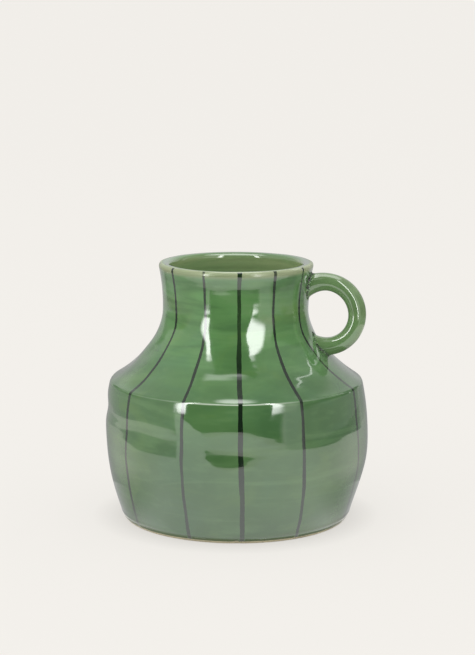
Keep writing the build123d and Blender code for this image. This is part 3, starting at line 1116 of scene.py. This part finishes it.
class JAR_OT_pull_handle(bpy.types.Operator):
    """Pull the ring handle, a round bar of clay bent from the neck to the shoulder"""

    bl_idname = "jar.pull_handle"
    bl_label = "Pull the Handle"

    def execute(self, context):
        settings = context.scene.jar
        ring = HandleRing(settings, ThrownWall(settings))
        around = even_turns(HANDLE_COLUMNS)
        buried = HANDLE_BURIED / settings.handle.ring
        low = ring.lower(around) - buried
        high = ring.upper(around) + buried
        step = np.linspace(0.0, 1.0, HANDLE_ROWS)[:, None]
        points = ring.point(blend(low, high, step), around)
        thin = blend(FLANK_THIN, RING_THIN, np.cos(around) ** 2)
        fields = {"glaze_fresh_and_lit_side": HANDLE_FRESH, "glaze_lip": thin}
        lay_piece("handle_loop", "green_glaze", points, fields, ring_rows=False)
        return {"FINISHED"}


# Slip round the handle's roots: rows and columns of its grid, and the turns and shares by which its reach is
# uneven
LUTE_ROWS = 25
LUTE_COLUMNS = 192
LUTE_UNEVEN = ((3, 0.22), (7, 0.14))

# Its lumps: how many, the turns that they make round it, and the most radians across it
LUTE_LUMP_COUNT = 30
LUTE_LUMP_TURNS = (6, 34)
LUTE_LUMP_RATE = 20.0

# How far it stands out, how lumpy that is, how deep its lower edge sinks into the wall, and its thickness
LUTE_BEAD = 0.16 * MM
LUTE_LUMPY = 1.1
LUTE_SINK = 0.12 * MM
LUTE_SKIN = 1.0 * MM

# How crusty its middle is, and how fresh its glaze
LUTE_CRUST = 1.15
LUTE_FRESH = 0.6


class JAR_OT_lute_handle(bpy.types.Operator):
    """Lute the handle on with slip: a lumpy, pitted fillet round each of its two roots"""

    bl_idname = "jar.lute_handle"
    bl_label = "Lute the Handle"

    def execute(self, context):
        settings = context.scene.jar
        handle = settings.handle
        wall = ThrownWall(settings)
        ring = HandleRing(settings, wall)
        draw = np.random.default_rng(LUTE_SEED)
        step = np.linspace(0.0, 1.0, LUTE_ROWS)[:, None]
        middle = np.sin(np.pi * step)
        crust = np.minimum(LUTE_CRUST * middle, 1.0)
        fields = {"glaze_fresh_and_lit_side": LUTE_FRESH, "glaze_crust": np.concatenate((crust, crust))}
        for node, crease, side in (
            ("handle_upper_lute", ring.upper, -1),
            ("handle_lower_lute", ring.lower, 1),
        ):
            around = side * even_turns(LUTE_COLUMNS)
            root = crease(around)
            corner = ring.point(root, around)
            phases = draw.uniform(0.0, FULL_TURN, len(LUTE_UNEVEN))
            waves = [Wave(turns, 0.0, phase, height) for (turns, height), phase in zip(LUTE_UNEVEN, phases)]
            uneven = 1 + wave_sum(waves, around, 0.0)
            upper_end = ring.point(root + side * handle.lute_climb * uneven / handle.ring, around)
            outward = unit(corner - corner.mean(axis=1, keepdims=True))
            spread = corner + outward * handle.lute_spread * uneven[..., None]
            turn = np.arctan2(spread[..., 1], spread[..., 0])
            lower_end = wall.point(turn, wall.outside(spread[..., 2]))
            sheet = parabola(lower_end, corner, upper_end, step[..., None])
            normals = grid_normals(sheet, ring_rows=False)
            drawn = drawn_waves(draw, LUTE_LUMP_COUNT, LUTE_LUMP_TURNS, LUTE_LUMP_RATE)
            heights = np.full(LUTE_LUMP_COUNT, np.sqrt(2 / LUTE_LUMP_COUNT))
            rough = wave_sum(np.column_stack((*drawn, heights)), around, step)
            bead = LUTE_BEAD * middle * (1 + LUTE_LUMPY * rough) - LUTE_SINK * (1 - step)
            sheet = sheet + normals * bead[..., None]
            points = np.concatenate((sheet, (sheet - normals * LUTE_SKIN)[::-1]))
            lay_piece(node, "green_glaze", points, fields, ring_rows=True)
        return {"FINISHED"}


# Strokes: the step from row to row, the columns of the painted side and the places of those underneath, how
# far underneath they lie, and the share of the skin that is lost at the edges
STROKE_ROW_STEP = 1.0 * MM
STROKE_COLUMNS = 9
STROKE_UNDER = (0.9, 0.0, -0.9)
STROKE_SUNK = 0.2 * MM
STROKE_EDGE_LOSS = 0.9

# Height of a stroke's mark on the belly, the rows to each side over which its bends are eased, and the phases
# drawn for it, of which its drifts and swells take the first
BELLY_MARK = 90 * MM
EASED_ROWS = 12
STROKE_PHASES = 6

# How a stroke drifts aside and swells: height of each wave, and length along the wall per radian
DRIFTS = ((0.18 * MM, 11 * MM), (0.10 * MM, 4.1 * MM))
SWELLS = ((0.10, 13 * MM), (0.06, 5.3 * MM))

# Share of its breadth that a stroke loses on the neck and gains in the blob at the lip
NECK_TAPER = 0.2
BLOB_GAIN = 0.35

# Where the blob and the skip are, below the crest of the lip, and half their lengths
BLOB_PLACE = (1.0 * MM, 1.5 * MM)
SKIP_PLACE = (4.6 * MM, 1.3 * MM)

# How far from the waist the paint is thin, and how thin it is at the foot
WASH_REACH = 30 * MM
FOOT_WASH = 0.12


def waver(waves, along, phases):
    """Sum of waves along a length, each its height times sin(length / reach + phase)."""
    return sum(height * np.sin(along / reach + phase) for (height, reach), phase in zip(waves, phases))


class JAR_OT_paint_strokes(bpy.types.Operator):
    """Paint the strokes: thin skins of paint that follow the wall from the lip to the foot"""

    bl_idname = "jar.paint_strokes"
    bl_label = "Paint the Strokes"

    def execute(self, context):
        settings = context.scene.jar
        shape, strokes = settings.shape, settings.strokes
        wall = ThrownWall(settings)
        draw = np.random.default_rng(STROKE_SEED)
        low = wall.outside(strokes.lift)
        high = wall.outside(shape.jar_height - strokes.stop)
        belly, ridge, waist = wall.outside((BELLY_MARK, shape.ridge_height, shape.waist_height))
        along = rows_between(low, high, STROKE_ROW_STEP)[:, None]
        across = np.linspace(-1.0, 1.0, STROKE_COLUMNS)
        loop = np.concatenate((across, STROKE_UNDER))[None, :]
        top = np.arange(loop.size) < across.size
        skin = np.where(top, strokes.skin * (1 - STROKE_EDGE_LOSS * loop**4), -STROKE_SUNK)
        radius = np.interp(along, wall.length, wall.line[:, 0])
        below_crest = wall.crest - along
        taper = 1 - NECK_TAPER * smooth(ridge, waist, along) + BLOB_GAIN * bell(below_crest, *BLOB_PLACE)
        for node, stroke in zip(STROKE_NODES, STROKES, strict=True):
            phases = draw.uniform(0.0, FULL_TURN, STROKE_PHASES)
            marks = np.radians((stroke.foot, stroke.belly, stroke.ridge, stroke.waist, stroke.lip))
            middle = self.eased(np.interp(along[:, 0], (low, belly, ridge, waist, high), marks))
            swell = 1 + waver(SWELLS, along, phases[len(DRIFTS) :])
            half = strokes.width / 2 * stroke.breadth * swell * taper
            aside = loop * (half + strokes.bleed)
            turn = middle + (waver(DRIFTS, along, phases) + aside) / radius
            normals = wall.facing(turn, along) * np.where(top, 1.0, -1.0)[..., None]
            wash = stroke.wash * bell(along, waist, WASH_REACH) + FOOT_WASH * smooth(belly, low, along)
            fields = wall.fields(turn, along)
            fields["stroke_edge"] = (np.abs(aside) - half) / strokes.bleed
            fields["stroke_wash"] = wash
            fields["stroke_skip"] = stroke.skip * bell(below_crest, *SKIP_PLACE)
            points = wall.point(turn, along, skin)
            lay_piece(node, "stripe_pigment", points, fields, ring_rows=False, normals=normals)
        return {"FINISHED"}

    def eased(self, angles):
        """Angles along a stroke, with bends eased to the mean over the rows to each side, as a column."""
        window = 2 * EASED_ROWS + 1
        return np.convolve(np.pad(angles, EASED_ROWS, "edge"), np.full(window, 1 / window), "valid")[:, None]


def stage_sheet(name, corners, faces, finish):
    """Sheet of the stage, not part of the jar."""
    mesh = bpy.data.meshes.new(name)
    mesh.from_pydata(corners, [], faces)
    mesh.materials.append(finish)
    sheet = bpy.data.objects.new(name, mesh)
    bpy.context.scene.collection.objects.link(sheet)
    return sheet


# Soft lamps: degrees from the camera's side, distance from the axis and height in metres, the lamp's breadth
# and height, and its power in watts. Both face the middle of the jar.
Lamp = namedtuple("Lamp", "name turn out height size power")
LAMPS = (
    Lamp("top_lamp", -20.0, 0.5, 2.2, (2.2, 2.2), 7.0),
    Lamp("front_lamp", -50.0, 2.3, 1.0, (2.4, 1.6), 6.0),
)
LAMP_TARGET = Vector((0.0, 0.0, 0.11))

# Floor of the stage: its reach in metres, the share of its look that glows by itself, and the samples of its
# close shadow
STAGE_REACH = 120.0
STAGE_GLOW = 0.84
CONTACT_SAMPLES = 4

# Rise of a ray at which the backdrop starts to turn into the ceiling, and at which it is all ceiling
CEILING_START = (0.15, 0.85)

# Camera: breadth of its sensor and length of its lens in millimetres, and how far it sees in metres
SENSOR_WIDTH = 36.0
LENS_LENGTH = 103.8
FAR_CLIP = 400.0

# What the gloss shows: bright strips and dim flats that stand round the jar. Each runs from a turn to a turn,
# in degrees from the camera's side, and from a low edge to a high one, each edge at a distance and a height
# in metres. Then come its brightness, the shares of it over which its start, end, low and high edges fade,
# and how far its high edge climbs towards its start.
Flat = namedtuple("Flat", "name start end out head_out low high level soft climb", defaults=(0.0,))
FLATS = (
    Flat("left_strip", -47.5, -36.5, 0.30, 0.30, 0.106, 0.585, 7.0, (0.50, 0.06, 0.02, 0.30)),
    Flat("right_strip", 24.5, 36.0, 0.30, 0.30, 0.106, 0.720, 6.6, (0.06, 0.55, 0.02, 0.30)),
    Flat("overhead_bar", -52.0, 17.0, 0.115, 0.145, 0.350, 0.350, 1.7, (0.25, 0.25, 0.40, 0.40)),
    Flat("mouth_disc", -180.0, 180.0, 0.002, 0.060, 0.300, 0.300, 3.2, (0.00, 0.00, 0.00, 0.30)),
    Flat("handle_bar", 66.0, 86.0, 0.050, 0.098, 0.222, 0.222, 2.1, (0.25, 0.25, 0.20, 0.20)),
    Flat("front_floor", -80.0, 80.0, 0.09, 0.44, 0.001, 0.001, 1.02, (0.20, 0.20, 0.00, 0.00)),
    Flat("front_low", -42.0, 10.0, 0.22, 0.22, 0.000, 0.030, 1.00, (0.00, 0.00, 0.00, 0.00), 0.085),
    Flat("front_flat", -42.0, 37.0, 0.45, 0.45, 0.018, 1.600, 0.012, (0.03, 0.05, 0.00, 0.10)),
    Flat("right_glow", 35.0, 56.0, 0.46, 0.46, 0.000, 0.140, 0.60, (0.20, 0.40, 0.00, 0.30)),
    Flat("right_gap", 46.0, 130.0, 0.47, 0.47, 0.000, 0.042, 0.18, (0.12, 0.08, 0.00, 0.25)),
    Flat("right_mid", 46.0, 130.0, 0.48, 0.48, 0.030, 0.120, 0.32, (0.12, 0.08, 0.10, 0.20)),
    Flat("right_high", 46.0, 130.0, 0.49, 0.49, 0.100, 0.420, 0.10, (0.12, 0.08, 0.02, 0.20)),
    Flat("right_top", 46.0, 130.0, 0.50, 0.50, 0.340, 1.400, 0.30, (0.12, 0.08, 0.05, 0.20)),
    Flat("right_neck", 62.0, 128.0, 0.25, 0.25, 0.122, 0.200, 0.10, (0.25, 0.12, 0.15, 0.15)),
    Flat("right_line", 108.0, 110.5, 0.46, 0.46, 0.100, 0.900, 2.5, (0.20, 0.20, 0.05, 0.20)),
    Flat("left_wall", -170.0, -42.0, 0.47, 0.47, 0.000, 1.300, 0.40, (0.10, 0.03, 0.00, 0.20)),
    Flat("left_neck", -132.0, -72.0, 0.25, 0.25, 0.122, 0.200, 0.14, (0.12, 0.25, 0.15, 0.15)),
    Flat("back_wall", 126.0, 200.0, 0.50, 0.50, 0.000, 0.900, 0.48, (0.10, 0.12, 0.00, 0.20)),
    Flat("back_high", 132.0, 228.0, 0.46, 0.46, 0.220, 1.500, 0.70, (0.15, 0.15, 0.10, 0.30)),
    Flat("back_low", 70.0, 290.0, 0.14, 0.14, 0.000, 0.118, 0.34, (0.20, 0.20, 0.00, 0.12)),
    Flat("back_floor", 46.0, 314.0, 0.09, 0.20, 0.0015, 0.0015, 0.45, (0.12, 0.12, 0.00, 0.70)),
)

# Steps across and up a flat's grid, and the share of a flat that stands for a sharp edge
FLAT_STEPS = 33
SHARP_EDGE = 1e-6

# Rays that show the backdrop itself
SEEN_RAYS = ("Is Camera Ray", "Is Glossy Ray", "Is Transmission Ray")


class JAR_OT_set_stage(bpy.types.Operator):
    """Set the jar on a pale floor under soft light, and place the camera"""

    bl_idname = "jar.set_stage"
    bl_label = "Set the Stage"

    def execute(self, context):
        stage = context.scene.jar.stage
        self.lay_floor(stage)
        self.light_room(context.scene, stage)
        for flat in FLATS:
            self.stand_flat(stage, flat)
        self.place_camera(context.scene, stage)
        context.scene.view_settings.view_transform = "Standard"
        return {"FINISHED"}

    def front(self, stage, turn, out, height):
        """Point at a distance from the axis and a height, turned by degrees from the camera's side."""
        heading = stage.azimuth + np.radians(turn)
        return out * np.sin(heading), -out * np.cos(heading), height

    def seen(self, recipe):
        """Mask of the rays that show the backdrop itself: camera, glossy and transmission rays."""
        rays = [recipe.node("ShaderNodeLightPath", output=ray) for ray in SEEN_RAYS]
        return rays[0] + rays[1] + rays[2]

    def lay_floor(self, stage):
        """Very large pale floor that keeps the jar's shadow."""
        finish, recipe = new_finish("pale_floor")
        seen = self.seen(recipe)
        close = {"Distance": stage.contact}
        open_air = recipe.node("ShaderNodeAmbientOcclusion", {"samples": CONTACT_SAMPLES}, close, output="AO")
        shaded = recipe.mix(open_air, dimmed(stage.floor, stage.contact_left), stage.floor)
        glow = recipe.node("ShaderNodeEmission", None, {"Color": shaded, "Strength": 1.0})
        pale = recipe.mix(seen, dimmed(stage.floor, stage.bounce), stage.floor)
        matt = recipe.node("ShaderNodeBsdfDiffuse", None, {"Color": pale})
        recipe.surface(recipe.mix_shaders(seen * STAGE_GLOW, matt, glow))
        far = STAGE_REACH
        corners = [(-far, -far, 0), (far, -far, 0), (far, far, 0), (-far, far, 0)]
        stage_sheet("floor", corners, [(0, 1, 2, 3)], finish)

    def light_room(self, scene, stage):
        """Even light all round under a dimmer ceiling, a soft lamp overhead and one in front."""
        world = bpy.data.worlds.new("studio")
        world.use_nodes = True
        scene.world = world
        recipe = Recipe(world.node_tree)
        way = recipe.node("ShaderNodeTexCoord", output="Generated")
        rise = recipe.node("ShaderNodeSeparateXYZ", None, {"Vector": way}, output="Z")
        backdrop = recipe.mix(recipe.between(rise, *CEILING_START), stage.floor, stage.ceiling)
        lit = recipe.mix(self.seen(recipe), [stage.ambient] * 3, backdrop)
        light = recipe.node("ShaderNodeBackground", None, {"Color": lit})
        recipe.node("ShaderNodeOutputWorld", None, {"Surface": light})
        for lamp in LAMPS:
            self.hang_lamp(scene, lamp, Vector(self.front(stage, lamp.turn, lamp.out, lamp.height)))

    def hang_lamp(self, scene, lamp, place):
        """Area lamp that faces the jar and doesn't show in the gloss."""
        light = bpy.data.lights.new(lamp.name, "AREA")
        light.shape = "RECTANGLE"
        light.size, light.size_y = lamp.size
        light.energy = lamp.power
        holder = bpy.data.objects.new(lamp.name, light)
        scene.collection.objects.link(holder)
        holder.location = place
        holder.rotation_euler = (LAMP_TARGET - place).to_track_quat("-Z", "Y").to_euler()
        holder.visible_camera = False
        holder.visible_glossy = False

    def stand_flat(self, stage, flat):
        """Flat bent round the jar, glowing evenly and fading at its edges, that shows only in the gloss."""
        steps = np.linspace(0.0, 1.0, FLAT_STEPS)
        across, upward = np.meshgrid(steps, steps)
        out = blend(flat.out, flat.head_out, upward)
        height = blend(flat.low, flat.high + flat.climb * (1 - across) ** 2, upward)
        points = np.stack(self.front(stage, blend(flat.start, flat.end, across), out, height), axis=-1)
        index = np.arange(FLAT_STEPS**2).reshape(FLAT_STEPS, FLAT_STEPS)
        cells = np.stack((index[:-1, :-1], index[:-1, 1:], index[1:, 1:], index[1:, :-1]), axis=-1)
        glow = np.ones_like(across)
        for soft, inward in zip(flat.soft, (across, 1 - across, upward, 1 - upward)):
            glow *= smooth(-SHARP_EDGE, soft, inward)
        finish, recipe = new_finish(flat.name)
        lit = recipe.node("ShaderNodeEmission", None, {"Strength": flat.level})
        clear = recipe.node("ShaderNodeBsdfTransparent")
        recipe.surface(recipe.mix_shaders(recipe.field("glow"), clear, lit))
        finish.cycles.emission_sampling = "NONE"
        sheet = stage_sheet(flat.name, points.reshape(-1, 3).tolist(), cells.reshape(-1, 4).tolist(), finish)
        field = sheet.data.attributes.new("glow", "FLOAT", "POINT")
        field.data.foreach_set("value", glow.ravel().astype(np.float32))
        sheet.visible_camera = False
        sheet.visible_diffuse = False
        sheet.visible_shadow = False
        sheet.visible_transmission = False

    def place_camera(self, scene, stage):
        """Camera at the viewing angle, aimed at the axis from a little to its right."""
        lens = bpy.data.cameras.new("camera")
        lens.sensor_width = SENSOR_WIDTH
        lens.lens = LENS_LENGTH
        lens.clip_end = FAR_CLIP
        camera = bpy.data.objects.new("camera", lens)
        scene.collection.objects.link(camera)
        x, y, height = self.front(stage, 0.0, stage.distance, stage.eye_height)
        right = stage.sidestep * np.cos(stage.azimuth)
        back = stage.sidestep * np.sin(stage.azimuth)
        camera.location = (x + right, y + back, height)
        camera.rotation_euler = (np.pi / 2 - stage.pitch, 0.0, stage.azimuth)
        scene.camera = camera


class JAR_PT_steps(bpy.types.Panel):
    """Steps of making the jar, in order"""

    bl_idname = "JAR_PT_steps"
    bl_label = "Stoneware Jar"
    bl_space_type = "VIEW_3D"
    bl_region_type = "UI"
    bl_category = "Jar"

    def draw(self, context):
        for step in STEPS:
            self.layout.operator(step.bl_idname)


STEPS = (
    JAR_OT_throw_walls,
    JAR_OT_turn_foot,
    JAR_OT_close_floor,
    JAR_OT_pull_handle,
    JAR_OT_lute_handle,
    JAR_OT_paint_strokes,
    JAR_OT_set_stage,
)
GROUPS = (JarShape, JarHandle, JarThrowing, JarStrokes, JarGlaze, JarStage, JarSettings)


def register():
    """Registers the settings, the steps and the panel."""
    for group in (*GROUPS, *STEPS, JAR_PT_steps):
        bpy.utils.register_class(group)
    bpy.types.Scene.jar = PointerProperty(type=JarSettings)


def unregister():
    """Takes them away again."""
    del bpy.types.Scene.jar
    for group in reversed((*GROUPS, *STEPS, JAR_PT_steps)):
        bpy.utils.unregister_class(group)


def main():
    """Makes the jar step by step."""
    register()
    bpy.ops.jar.throw_walls()
    bpy.ops.jar.turn_foot()
    bpy.ops.jar.close_floor()
    bpy.ops.jar.pull_handle()
    bpy.ops.jar.lute_handle()
    bpy.ops.jar.paint_strokes()
    bpy.ops.jar.set_stage()


if __name__ == "__main__":
    main()
